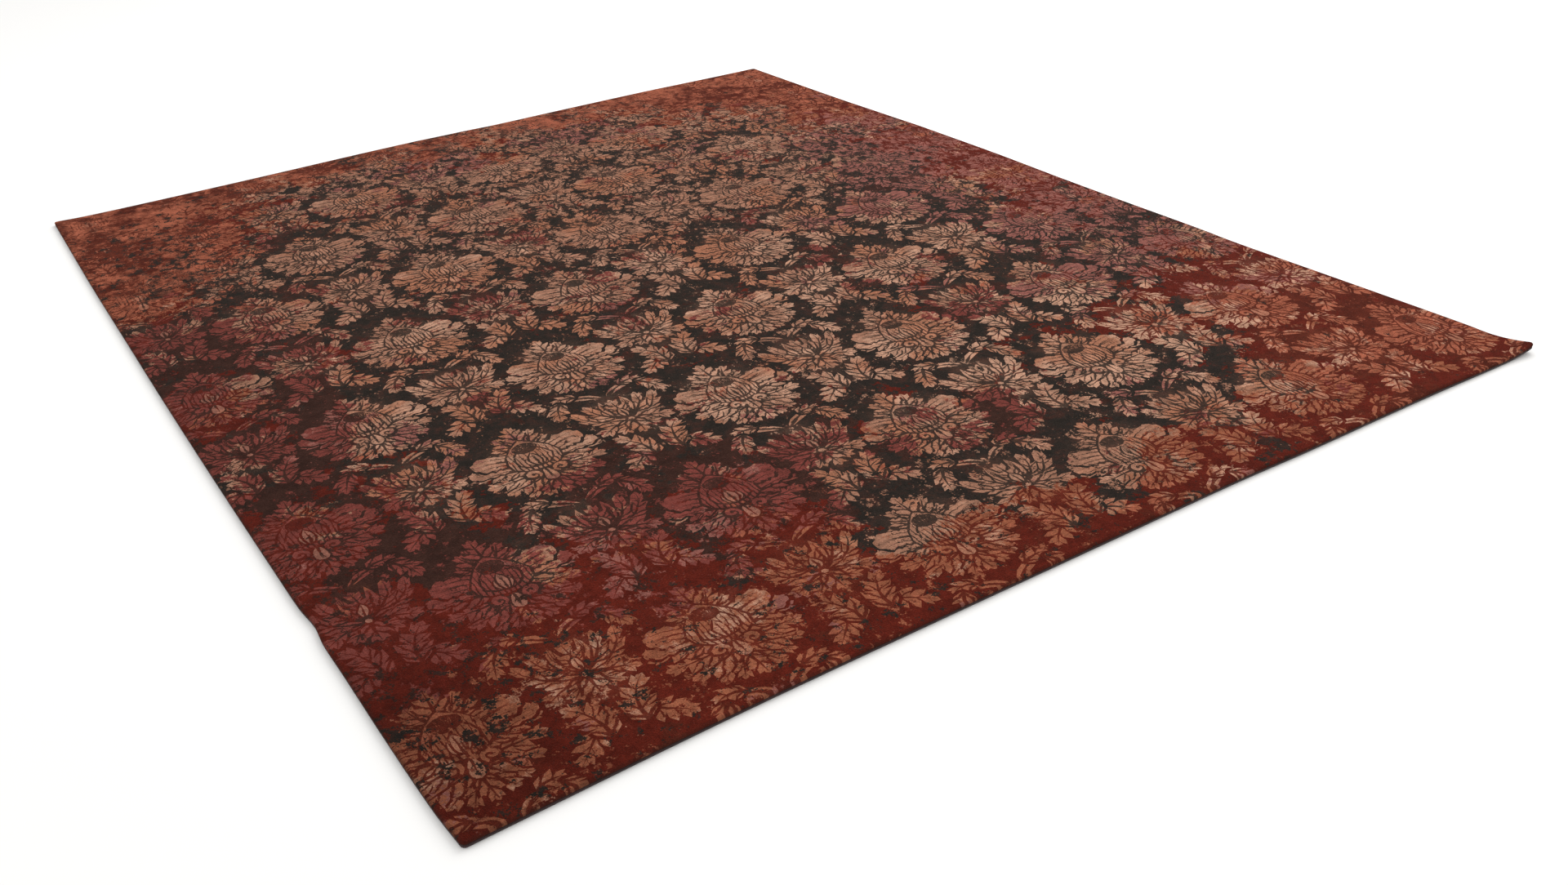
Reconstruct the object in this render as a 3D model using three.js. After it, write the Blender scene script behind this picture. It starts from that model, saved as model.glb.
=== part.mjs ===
// A hand-knotted wool pile rug that lies flat on the floor, in millimetres, +Z up.
// X runs across the rug, Y along it, and the floor is Z = 0 under the middle of the rug.
// The front is the -Y end. The rug's corner at front right curls up a little.
import * as THREE from 'three';

// Overall size as the rug lies, over its pile
const WIDTH = 2432;
const LENGTH = 3080;
const THICKNESS = 12;

// The cords sewn round the edge, under the overhang of the pile
const CORD_DIAMETER = 5;
const SEWING_GAP = 0.3;

// How far the knotted foundation stays inside the tips of the outer tufts
const SETBACK = CORD_DIAMETER + 2 * SEWING_GAP;

// The corners in order round the rug, seen from above, with the side each one turns to
const CORNERS = [
  { across: -1, along: -1, radius: 8 },
  { across: 1, along: -1, radius: 14 },
  { across: 1, along: 1, radius: 10 },
  { across: -1, along: 1, radius: 8 },
];
const FRONT = 0;
const RIGHT = 1;
const BACK = 2;
const LEFT = 3;
const SIDE_STEPS = [34, 46, 34, 46];
const ARC_STEPS = 4;

// How far each edge lies inside the overall rectangle, at places along it from the middle
const EDGE_DIPS = [];
EDGE_DIPS[FRONT] = [
  { at: -1215, dip: 9 },
  { at: -1050, dip: 13.5 },
  { at: -880, dip: 18 },
  { at: -700, dip: 21 },
  { at: -400, dip: 21.5 },
  { at: 0, dip: 20.5 },
  { at: 310, dip: 19.5 },
  { at: 500, dip: 14.5 },
  { at: 700, dip: 12.5 },
  { at: 900, dip: 9.5 },
  { at: 1020, dip: 6 },
  { at: 1120, dip: 3.5 },
  { at: 1180, dip: 1 },
  { at: 1215, dip: 0 },
];
EDGE_DIPS[RIGHT] = [
  { at: -1540, dip: 23 },
  { at: -1500, dip: 29 },
  { at: -1450, dip: 31 },
  { at: -1380, dip: 27.5 },
  { at: -1100, dip: 27 },
  { at: -850, dip: 28 },
  { at: -740, dip: 27.5 },
  { at: -620, dip: 22.5 },
  { at: -350, dip: 19 },
  { at: -100, dip: 13.5 },
  { at: 60, dip: 7.5 },
  { at: 200, dip: 3 },
  { at: 400, dip: 1 },
  { at: 560, dip: 0 },
  { at: 690, dip: 3 },
  { at: 800, dip: 5 },
  { at: 950, dip: 8.5 },
  { at: 1250, dip: 9.5 },
  { at: 1540, dip: 9 },
];
EDGE_DIPS[BACK] = [
  { at: -1215, dip: 14 },
  { at: -1130, dip: 23.5 },
  { at: -950, dip: 24.5 },
  { at: -720, dip: 20 },
  { at: -520, dip: 13.5 },
  { at: -320, dip: 5 },
  { at: -110, dip: 0 },
  { at: 0, dip: 3 },
  { at: 90, dip: 5 },
  { at: 170, dip: 10 },
  { at: 420, dip: 6.5 },
  { at: 760, dip: 5 },
  { at: 900, dip: 9.5 },
  { at: 1060, dip: 14 },
  { at: 1215, dip: 16 },
];
EDGE_DIPS[LEFT] = [
  { at: -1540, dip: 14.5 },
  { at: -1450, dip: 9 },
  { at: -1280, dip: 6.5 },
  { at: -1060, dip: 6 },
  { at: -970, dip: 5.5 },
  { at: -915, dip: 9.5 },
  { at: -850, dip: 4.5 },
  { at: -740, dip: 3 },
  { at: -300, dip: 0.5 },
  { at: 100, dip: 0 },
  { at: 500, dip: 1.5 },
  { at: 940, dip: 3.5 },
  { at: 1300, dip: 8 },
  { at: 1540, dip: 11 },
];
const EDGE_REACH = 400;

// The curl of the front right corner, measured back from its tip along the diagonal
const CURL_HEIGHT = 12.5;
const CURL_REACH = 85;

// The edge in section, from the foundation's foot out under the tufts and over their tips
const EDGE_SECTION = [
  { inset: SETBACK, height: 0 },
  { inset: SETBACK, height: CORD_DIAMETER + 0.4 },
  { inset: 0.8, height: CORD_DIAMETER + 0.8 },
  { inset: 0, height: 7.2 },
  { inset: 0, height: 9.2 },
  { inset: 0.9, height: 10.9 },
  { inset: 2.6, height: 11.7 },
  { inset: SETBACK, height: THICKNESS },
];
const INNER_INSETS = [12, 30, 60, 120];

const CORD_SIDES = 8;

const pileMaterial = new THREE.MeshStandardMaterial({ color: 0x6b4238, roughness: 0.95, metalness: 0 });
const cordMaterial = new THREE.MeshStandardMaterial({ color: 0x3b3130, roughness: 0.9, metalness: 0 });

// A smooth curve through a table's rows, with each row's slope taken from its neighbours
function readDip(rows, at) {
  const place = THREE.MathUtils.clamp(at, rows[0].at, rows.at(-1).at);
  const next = Math.max(1, rows.findIndex((row) => row.at >= place));
  const low = rows[next - 1];
  const high = rows[next];
  const before = rows[next - 2] ?? low;
  const after = rows[next + 1] ?? high;
  const span = high.at - low.at;
  const share = (place - low.at) / span;
  const lowSlope = (high.dip - before.dip) / (high.at - before.at);
  const highSlope = (after.dip - low.dip) / (after.at - low.at);
  const ease = share * share * (3 - 2 * share);
  const leave = share * (1 - share) * (1 - share) * span * lowSlope;
  const arrive = share * share * (1 - share) * span * highSlope;
  return low.dip + (high.dip - low.dip) * ease + leave - arrive;
}

// 1 at an edge, falling smoothly to 0 where the edge's unevenness ends
function nearEdge(distance) {
  return 1 - THREE.MathUtils.smoothstep(distance, 0, EDGE_REACH);
}

// Moves a point of the true rectangle to where it lies on the uneven rug
function layOut(x, y, height) {
  const fromTip = (WIDTH / 2 - x + LENGTH / 2 + y) / Math.SQRT2;
  const curl = Math.max(0, 1 - fromTip / CURL_REACH);
  const moveRight = readDip(EDGE_DIPS[LEFT], y) * nearEdge(WIDTH / 2 + x);
  const moveLeft = readDip(EDGE_DIPS[RIGHT], y) * nearEdge(WIDTH / 2 - x);
  const moveBack = readDip(EDGE_DIPS[FRONT], x) * nearEdge(LENGTH / 2 + y);
  const moveForward = readDip(EDGE_DIPS[BACK], x) * nearEdge(LENGTH / 2 - y);
  return new THREE.Vector3(
    x + moveRight - moveLeft,
    y + moveBack - moveForward,
    height + CURL_HEIGHT * curl * curl,
  );
}

function cornerRadius(corner, inset) {
  return corner.radius - Math.min(inset, SETBACK);
}

// The point at a station on the outline, moved in by an inset and set at a height
function place(station, inset, height) {
  const first = CORNERS[station.corner];
  const second = CORNERS[(station.corner + 1) % CORNERS.length];
  const firstRadius = cornerRadius(first, inset);
  const secondRadius = cornerRadius(second, inset);
  const firstX = first.across * (WIDTH / 2 - inset - firstRadius);
  const firstY = first.along * (LENGTH / 2 - inset - firstRadius);
  const secondX = second.across * (WIDTH / 2 - inset - secondRadius);
  const secondY = second.along * (LENGTH / 2 - inset - secondRadius);
  const radius = THREE.MathUtils.lerp(firstRadius, secondRadius, station.share);
  const x = THREE.MathUtils.lerp(firstX, secondX, station.share) + radius * Math.cos(station.turn);
  const y = THREE.MathUtils.lerp(firstY, secondY, station.share) + radius * Math.sin(station.turn);
  return layOut(x, y, height);
}

// Stations along one side, from one corner's arc to the next, closer together near the corners
function sideStations(side, endGap = 0) {
  const steps = SIDE_STEPS[side];
  const sideLength = side === FRONT || side === BACK ? WIDTH : LENGTH;
  const turn = (side - 1) * Math.PI / 2;
  const stations = [];
  for (let step = 0; step <= steps; step += 1) {
    const share = (1 - Math.cos(Math.PI * step / steps)) / 2;
    const kept = THREE.MathUtils.clamp(share, endGap / sideLength, 1 - endGap / sideLength);
    stations.push({ corner: side, share: kept, turn });
  }
  return stations;
}

// Stations on the arc of one corner, without the two that the sides already hold
function arcStations(corner) {
  const stations = [];
  for (let step = 1; step < ARC_STEPS; step += 1) {
    const turn = (corner - 2 + step / ARC_STEPS) * Math.PI / 2;
    stations.push({ corner, share: 0, turn });
  }
  return stations;
}

// A closed skin over a row of closed rings, with a fan over the first ring and the last
function closedSkin(rings) {
  const count = rings[0].length;
  const points = rings.flat();
  const faces = [];
  for (let ring = 1; ring < rings.length; ring += 1) {
    for (let step = 0; step < count; step += 1) {
      const low = (ring - 1) * count + step;
      const lowNext = (ring - 1) * count + (step + 1) % count;
      faces.push(low, lowNext, lowNext + count);
      faces.push(low, lowNext + count, low + count);
    }
  }
  const bottom = points.push(middleOf(rings[0])) - 1;
  const top = points.push(middleOf(rings.at(-1))) - 1;
  const lastRing = (rings.length - 1) * count;
  for (let step = 0; step < count; step += 1) {
    const next = (step + 1) % count;
    faces.push(bottom, next, step);
    faces.push(top, lastRing + step, lastRing + next);
  }
  const geometry = new THREE.BufferGeometry().setFromPoints(points);
  geometry.setIndex(faces);
  geometry.computeVertexNormals();
  return geometry;
}

function middleOf(ring) {
  const middle = new THREE.Vector3();
  for (const point of ring) {
    middle.addScaledVector(point, 1 / ring.length);
  }
  return middle;
}

// The pile and its foundation: one sheet of cloth with its rounded, overhanging pile edge
function makePileBody() {
  const outline = [FRONT, RIGHT, BACK, LEFT].flatMap((side) => [...arcStations(side), ...sideStations(side)]);
  const underside = INNER_INSETS.toReversed().map((inset) => ({ inset, height: 0 }));
  const upperside = INNER_INSETS.map((inset) => ({ inset, height: THICKNESS }));
  const section = [...underside, ...EDGE_SECTION, ...upperside];
  const rings = section.map(({ inset, height }) => outline.map((station) => place(station, inset, height)));
  return closedSkin(rings);
}

// A cord along a run of stations, beside the foundation and flat on the floor
function makeCord(stations) {
  const flat = CORD_DIAMETER / 2;
  const radius = flat / Math.cos(Math.PI / CORD_SIDES);
  const middleInset = SETBACK / 2;
  const rings = stations.map((station) => {
    const ring = [];
    for (let side = 0; side < CORD_SIDES; side += 1) {
      const angle = (side + 0.5) * 2 * Math.PI / CORD_SIDES;
      ring.push(place(station, middleInset - radius * Math.cos(angle), flat - radius * Math.sin(angle)));
    }
    return ring;
  });
  return closedSkin(rings);
}

// The side cords turn both corners of their side and stop where the end cords begin
function sideCordStations(side) {
  const before = sideStations(side - 1).at(-1);
  const after = sideStations((side + 1) % CORNERS.length)[0];
  const nextCorner = (side + 1) % CORNERS.length;
  return [before, ...arcStations(side), ...sideStations(side), ...arcStations(nextCorner), after];
}

function addPiece(group, name, geometry, material) {
  const piece = new THREE.Mesh(geometry, material);
  piece.name = name;
  group.add(piece);
}

const rug = new THREE.Group();
addPiece(rug, 'pile_body', makePileBody(), pileMaterial);
addPiece(rug, 'side_cord_left', makeCord(sideCordStations(LEFT)), cordMaterial);
addPiece(rug, 'side_cord_right', makeCord(sideCordStations(RIGHT)), cordMaterial);
addPiece(rug, 'end_cord_front', makeCord(sideStations(FRONT, SEWING_GAP)), cordMaterial);
addPiece(rug, 'end_cord_back', makeCord(sideStations(BACK, SEWING_GAP)), cordMaterial);

export default rug;
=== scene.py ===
"""A hand-knotted wool pile rug, dressed over its CAD frame. Sizes are in metres unless a comment says mm."""

import math

import bmesh
import bpy
from mathutils import Matrix, Vector, noise
from mathutils.geometry import delaunay_2d_cdt


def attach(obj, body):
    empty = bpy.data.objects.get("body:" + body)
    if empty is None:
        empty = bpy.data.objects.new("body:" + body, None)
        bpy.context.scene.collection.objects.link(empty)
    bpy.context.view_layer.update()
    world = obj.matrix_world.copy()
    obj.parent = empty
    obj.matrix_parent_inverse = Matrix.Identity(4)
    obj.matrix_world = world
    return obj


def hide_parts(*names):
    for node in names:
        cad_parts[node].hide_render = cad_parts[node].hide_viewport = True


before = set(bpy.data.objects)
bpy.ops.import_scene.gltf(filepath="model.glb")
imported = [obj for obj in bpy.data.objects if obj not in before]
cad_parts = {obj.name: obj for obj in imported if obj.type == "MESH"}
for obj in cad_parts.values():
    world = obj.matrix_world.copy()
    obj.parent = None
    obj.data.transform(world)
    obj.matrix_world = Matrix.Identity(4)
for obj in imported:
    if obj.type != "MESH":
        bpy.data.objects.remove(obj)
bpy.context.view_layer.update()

bl_info = {
    "name": "Hand-knotted rug",
    "version": (1, 0, 0),
    "blender": (4, 5, 0),
    "location": "View3D > Sidebar > Rug",
    "description": "Builds a hand-knotted wool pile rug with a damask pattern and a bound edge",
    "category": "Object",
}

MM = 0.001

# The rug as it lies, as in the part's source
WIDTH = 2432 * MM
LENGTH = 3080 * MM
THICKNESS = 12 * MM
CORD_DIAMETER = 5 * MM
SEWING_GAP = 0.3 * MM
SETBACK = CORD_DIAMETER + 2 * SEWING_GAP
EDGE_REACH = 400 * MM
CURL_HEIGHT = 12.5 * MM
CURL_REACH = 85 * MM

# The corners in order round the rug, seen from above, with the side each one turns to
CORNERS = [
    {"across": -1, "along": -1, "radius": 8 * MM},
    {"across": 1, "along": -1, "radius": 14 * MM},
    {"across": 1, "along": 1, "radius": 10 * MM},
    {"across": -1, "along": 1, "radius": 8 * MM},
]
FRONT, RIGHT, BACK, LEFT = range(4)
ARC_STEPS = 4

# How far each edge lies inside the overall rectangle: (place along it from the middle, dip), in mm
EDGE_DIPS = {
    FRONT: [(-1215, 9), (-1050, 13.5), (-880, 18), (-700, 21), (-400, 21.5), (0, 20.5), (310, 19.5),
            (500, 14.5), (700, 12.5), (900, 9.5), (1020, 6), (1120, 3.5), (1180, 1), (1215, 0)],
    RIGHT: [(-1540, 23), (-1500, 29), (-1450, 31), (-1380, 27.5), (-1100, 27), (-850, 28), (-740, 27.5),
            (-620, 22.5), (-350, 19), (-100, 13.5), (60, 7.5), (200, 3), (400, 1), (560, 0), (690, 3),
            (800, 5), (950, 8.5), (1250, 9.5), (1540, 9)],
    BACK: [(-1215, 14), (-1130, 23.5), (-950, 24.5), (-720, 20), (-520, 13.5), (-320, 5), (-110, 0),
           (0, 3), (90, 5), (170, 10), (420, 6.5), (760, 5), (900, 9.5), (1060, 14), (1215, 16)],
    LEFT: [(-1540, 14.5), (-1450, 9), (-1280, 6.5), (-1060, 6), (-970, 5.5), (-915, 9.5), (-850, 4.5),
           (-740, 3), (-300, 0.5), (100, 0), (500, 1.5), (940, 3.5), (1300, 8), (1540, 11)],
}

# The pile's edge in section, from the top out over the tufts' tips and in to the foundation's foot
EDGE_SECTION = [
    {"inset": 2.6, "height": 11.7},
    {"inset": 0.9, "height": 10.9},
    {"inset": 0, "height": 9.2},
    {"inset": 0, "height": 7.2},
    {"inset": 0.8, "height": 5.8},
    {"inset": 5.6, "height": 5.4},
    {"inset": 5.6, "height": 0},
]
CURL_CUTS = 9
EDGE_STEP = 14 * MM
CROWDED = 1.2 * MM

# The damask: half drop columns of groups, each group with a palmette, a lotus and leaves
PITCH_ACROSS = 453.7
PITCH_ALONG = 698.0
GROUP_LOW = -546.0
MIDDLE_ALONG = 411.0
LOTUS_ALONG = -274.0
LINE = 5.4
GROUND, MOTIF, PALE = 0, 1, 2
CURVE_LIMIT = 8

# Where the palmette and the lotus lie: rise from the palmette's heart, reach across and reach along
HEARTS = [(-8, 112, 145), (-310, 86, 130)]

# Veins as a repeating phase: where it starts, its gain per mm along the rib and per mm to the side
LEAF_VEINS = (0.2, -1 / 25, 1 / 21)
PETAL_VEINS = (0.0, -1 / 400, 1 / 13)
BULB_VEINS = (0.0, 0.0, 1 / 9.5)
DRIFT_SPAN = 330 * MM
SHAKE_SPAN = 22 * MM
WEAVER_SEED = 5

UNDERSIDE = 3

# The cords: sides of their section and the step along them
CORD_SIDES = 10
CORD_STEP = 9 * MM

# The camera, found from the photo's four corners
CAMERA_PLACE = (-1.557757, -2.959269, 1.374661)
CAMERA_FORWARD = (0.46273317, 0.73989509, -0.48829629)
CAMERA_RIGHT = (0.83193832, -0.55269258, -0.04908714)
LENS = 32.815
SENSOR = 36


def linear(hex_colour):
    """An sRGB hex colour as linear RGBA."""
    parts = [int(hex_colour[i:i + 2], 16) / 255 for i in (1, 3, 5)]
    return [p / 12.92 if p <= 0.04045 else ((p + 0.055) / 1.055) ** 2.4 for p in parts] + [1.0]


def smooth(low, high, value):
    """0 below low, 1 above high and an even S between them."""
    share = min(max((value - low) / (high - low), 0.0), 1.0)
    return share * share * (3 - 2 * share)


def read_dip(side, place):
    """A smooth curve through a side's table, with each row's slope taken from its neighbours."""
    rows = EDGE_DIPS[side]
    at = min(max(place / MM, rows[0][0]), rows[-1][0])
    following = max(1, next(i for i, row in enumerate(rows) if row[0] >= at))
    low, high = rows[following - 1], rows[following]
    before = rows[following - 2] if following > 1 else low
    after = rows[following + 1] if following + 1 < len(rows) else high
    span = high[0] - low[0]
    share = (at - low[0]) / span
    low_slope = (high[1] - before[1]) / (high[0] - before[0])
    high_slope = (after[1] - low[1]) / (after[0] - low[0])
    ease = share * share * (3 - 2 * share)
    leave = share * (1 - share) * (1 - share) * span * low_slope
    arrive = share * share * (1 - share) * span * high_slope
    return (low[1] + (high[1] - low[1]) * ease + leave - arrive) * MM


def near_edge(distance):
    """How much of an edge's dip a point at this distance from the edge takes part in."""
    return 1 - smooth(0, EDGE_REACH, distance)


def lay_out(point):
    """Where a point of the true rectangle lies on the uneven rug."""
    x, y, z = point
    from_tip = (WIDTH / 2 - x + LENGTH / 2 + y) / math.sqrt(2)
    curl = max(0, 1 - from_tip / CURL_REACH)
    return Vector((
        x + read_dip(LEFT, y) * near_edge(WIDTH / 2 + x) - read_dip(RIGHT, y) * near_edge(WIDTH / 2 - x),
        y + read_dip(FRONT, x) * near_edge(LENGTH / 2 + y) - read_dip(BACK, x) * near_edge(LENGTH / 2 - y),
        z + CURL_HEIGHT * curl * curl,
    ))


# The damask is drawn in mm from the heart of a palmette
PROFILES = {
    "round": [(0, 0), (0.14, 0.5), (0.38, 0.84), (0.62, 1), (0.8, 0.93), (0.93, 0.62), (1, 0)],
    "point": [(0, 0), (0.15, 0.55), (0.36, 0.94), (0.56, 1), (0.78, 0.66), (1, 0)],
    "spoon": [(0, 0), (0.2, 0.42), (0.4, 0.64), (0.5, 0.96), (0.56, 0.76), (0.66, 1.12), (0.73, 0.9),
              (0.84, 1.08), (0.91, 0.84), (0.94, 0.58), (1.01, 0.46), (1.04, 0.2), (1.04, 0)],
    "sliver": [(0, 0), (0.5, 1), (1, 0)],
}


def lobed(lobes, first=0.05):
    """A leaf's half width along its rib: each lobe swells and ends in a claw that points forward."""
    rows = [(0, 0), (first * 0.5, 0.14)]
    span = (1 - first) / (lobes + 0.5)
    for lobe in range(lobes):
        low = first + span * lobe
        full = math.sin(math.pi * (low + span * 0.6) ** 0.75) ** 0.8
        rows += [(low, 0.34 * full), (low + span * 0.46, 1.0 * full), (low + span * 1.2, 1.2 * full)]
    low = first + span * lobes
    rows += [(low, 0.26), (low + span * 0.22, 0.3), (1, 0)]
    return rows


def rib(start, heading, length, bend, steps=8):
    """Points along a leaf's bent midrib, each with its direction."""
    x, y = start
    rows = [(x, y, math.radians(heading))]
    for step in range(steps):
        turn = math.radians(heading + bend * (step + 0.5) / steps)
        x += math.cos(turn) * length / steps
        y += math.sin(turn) * length / steps
        rows.append((x, y, math.radians(heading + bend * (step + 1) / steps)))
    return rows


def beside(rows, share, out):
    """The point beside a rib at a share of its length, past its ends if need be."""
    inside = min(max(share, 0), 1)
    place = inside * (len(rows) - 1)
    low = min(int(place), len(rows) - 2)
    x, y, turn = (a + (b - a) * (place - low) for a, b in zip(rows[low], rows[low + 1]))
    past = (share - inside) * 60
    return (x - math.sin(turn) * out + math.cos(turn) * past,
            y + math.cos(turn) * out + math.sin(turn) * past)


def shape(tone, outline, midrib=(), veins=(0.0, 0.0, 0.0)):
    """One flat shape of the drawing, with the rib and veins that its own lines follow."""
    return {"tone": tone, "outline": outline, "rib": list(midrib), "veins": veins}


def blade(tone, start, heading, length, bend, half, profile, veins, grow=0.0):
    """A petal or leaf round a bent rib. A profile is a name or a count of lobes, or one for each side."""
    sides = profile if isinstance(profile, tuple) else (profile, profile)
    upper, lower = [lobed(each) if isinstance(each, int) else PROFILES[each] for each in sides]
    turn = math.radians(heading)
    start = (start[0] - grow * math.cos(turn), start[1] - grow * math.sin(turn))
    rows = rib(start, heading, length + 2 * grow, bend)
    left = [beside(rows, s, half * w + (grow if 0 < s < 1 else 0)) for s, w in upper]
    right = [beside(rows, s, -half * w - (grow if 0 < s < 1 else 0)) for s, w in lower[-2:0:-1]]
    return shape(tone, left + right, [(x, y) for x, y, _ in rows], veins)


def petal(start, heading, length, bend, half, profile="round", tone=MOTIF, line=LINE, veins=PETAL_VEINS):
    """A petal over its own dark outline."""
    return [blade(GROUND, start, heading, length, bend, half, profile, veins, line),
            blade(tone, start, heading, length, bend, half, profile, veins)]


def leaf(start, heading, length, bend, half, lobes, line=LINE):
    """A lobed leaf with side veins."""
    return petal(start, heading, length, bend, half, lobes, line=line, veins=LEAF_VEINS)


def scroll(centre, radius, start, turns, half, way=1, steps=10):
    """A tapering curl that winds in to its centre."""
    outer, inner = [], []
    for step in range(steps + 1):
        share = step / steps
        angle = math.radians(start + way * 360 * turns * share)
        reach = radius * (1 - 0.74 * share)
        width = half * (0.5 + 0.5 * math.sin(math.pi * min(1, share * 1.2)))
        for side, rows in ((1, outer), (-1, inner)):
            r = max(0.3, reach + side * width)
            rows.append((centre[0] + math.cos(angle) * r, centre[1] + math.sin(angle) * r))
    return [shape(MOTIF, outer + inner[::-1])]


def disc(tone, centre, across, along, sides):
    """A round or oval spot."""
    return [shape(tone, [(centre[0] + across * math.cos(2 * math.pi * i / sides),
                          centre[1] + along * math.sin(2 * math.pi * i / sides)) for i in range(sides)])]


def bulb(tone, low, high, half, veins, sharp=0.62, steps=7):
    """An upright bud that is fuller below than above."""
    right = []
    for step in range(1, steps):
        rise = (1 - math.cos(math.pi * step / steps)) / 2
        right.append((half * math.sin(math.pi * rise ** sharp) ** 0.75, low + (high - low) * rise))
    outline = [(0, low)] + right + [(0, high)] + [(-x, y) for x, y in right[::-1]]
    return [shape(tone, outline, ((0, low), (0, high)), veins) if veins else shape(tone, outline)]


def both(shapes):
    """The shapes, each followed by its mirror image."""
    done = []
    for each in shapes:
        done.append(each)
        done.append(shape(each["tone"], [(-x, y) for x, y in each["outline"]],
                          [(-x, y) for x, y in each["rib"]], each["veins"]))
    return done


def palmette():
    """The large flower: a skirt and wings of leaves, shoulders, a crown and a bud with a scrolled foot."""
    s = []
    # skirt of pointed leaves
    s += both(leaf((12, -92), -44, 74, 14, 19, 3))
    s += both(leaf((7, -96), -68, 66, 12, 17, 3))
    s += leaf((0, -96), -90, 66, 0, 17, 3)
    # wide leaves below the shoulders
    s += both(leaf((10, -76), -24, 98, 12, 25, 4))
    s += both(leaf((10, -60), -8, 116, 14, 26, 4))
    s += both(leaf((12, -38), 10, 126, -4, 21, 4))
    # shoulders: two spoon petals, one over the other
    s += both(petal((10, -26), 24, 126, -26, 22, "spoon"))
    s += both(petal((10, -16), 50, 118, -56, 29, "spoon"))
    # crown
    s += both(leaf((24, 48), 26, 42, 34, 14, 2))
    s += both(leaf((12, 52), 56, 66, 20, 17, 3))
    s += leaf((0, 54), 90, 91, 0, 22, 4)
    # bulb
    s += bulb(GROUND, -56, 82, 60, ())
    s += bulb(MOTIF, -51, 76, 54.5, BULB_VEINS)
    s += bulb(GROUND, -42, 60, 41, ())
    s += bulb(MOTIF, -37, 54, 36, BULB_VEINS)
    # dark cap with its stamens
    s += disc(GROUND, (0, 42), 27, 22, 10)
    for place in range(-2, 3):
        s += [blade(MOTIF, (place * 7, 26), 90 - place * 10, 34, 0, 2.4, "sliver", PETAL_VEINS)]
    # flame
    s += both(petal((2, -38), 58, 38, 26, 7, "point", PALE, 3))
    s += petal((0, -40), 90, 56, 0, 10, "point", PALE, 4)
    # waist
    s += both(disc(GROUND, (30, -64), 21, 20, 10))
    s += both(scroll((30, -64), 15, 240, 1.15, 5, -1))
    s += petal((0, -54), -90, 48, 0, 13, "round", PALE, 4)
    return s


def lotus():
    """The smaller open flower, with arms that carry hanging sprigs."""
    s = []
    # arms that carry the hanging sprigs
    s += both(petal((3, 56), 54, 96, -60, 10, "point"))
    s += both(leaf((50, 96), 40, 58, -76, 17, 3))
    s += both(leaf((86, 94), -48, 86, -38, 21, 3))
    # nested sepals that open at the top
    s += both(leaf((4, -52), 2, 136, 86, 16, ("round", 4)))
    s += both(leaf((4, -48), 28, 116, 66, 14, ("round", 3)))
    s += both(petal((3, -44), 54, 96, 46, 10, "point"))
    # core
    s += leaf((0, -46), 90, 92, 0, 18, 3)
    s += petal((0, -44), 90, 42, 0, 9, "point", PALE, 4)
    # collar
    s += both(leaf((6, -58), -8, 86, -32, 25, 3))
    s += both(leaf((4, -62), -50, 62, 0, 17, 2))
    s += leaf((0, -60), -90, 64, 0, 20, 3)
    s += disc(GROUND, (0, -56), 12, 12, 7)
    s += disc(PALE, (0, -56), 6.5, 6.5, 6)
    return s


def blossoms():
    """The leaves below the lotus."""
    s = []
    # lower leaves, whose tips meet the next column's sprigs
    s += both(leaf((26, -184), -34, 98, -16, 25, 4))
    # acanthus pair that leans out at the top
    s += both(leaf((30, -220), 98, 122, -58, 26, 4))
    return s


def moved(shapes, across, along):
    """The shapes at another place."""
    return [shape(each["tone"], [(x + across, y + along) for x, y in each["outline"]],
                  [(x + across, y + along) for x, y in each["rib"]], each["veins"]) for each in shapes]


def group():
    """One group of the damask, painted from the bottom up: what comes later lies over what came before."""
    return moved(blossoms() + lotus(), 0, LOTUS_ALONG) + palmette()


def vein_place(rib_points, point):
    """A leaf point's place along its rib, how far to its side it lies, and the share of the rib behind."""
    found = []
    gone = 0
    for low, high in zip(rib_points, rib_points[1:]):
        low, run = Vector(low), Vector(high) - Vector(low)
        share = (point - low).dot(run) / run.length_squared
        inside = min(max(share, 0), 1)
        away = (point - low - run * inside).length
        found.append((away, gone + share * run.length, (point - low).cross(run) / run.length))
        gone += run.length
    _, up, out = min(found)
    return up, out, up / gone


def depth_in_flower(point):
    """How far inside one of the flowers a point of the cell lies: 0 on the open ground, 1 well inside."""
    least = 2
    for column in (0, 1):
        for row in (-1, 0, 1):
            middle = Vector((column * PITCH_ACROSS / 2, (row + column / 2) * PITCH_ALONG))
            for rise, across, along in HEARTS:
                away = point - middle - Vector((0, rise))
                least = min(least, math.hypot(away.x / across, away.y / along))
    return 1 - smooth(0.6, 1, least)


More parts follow.
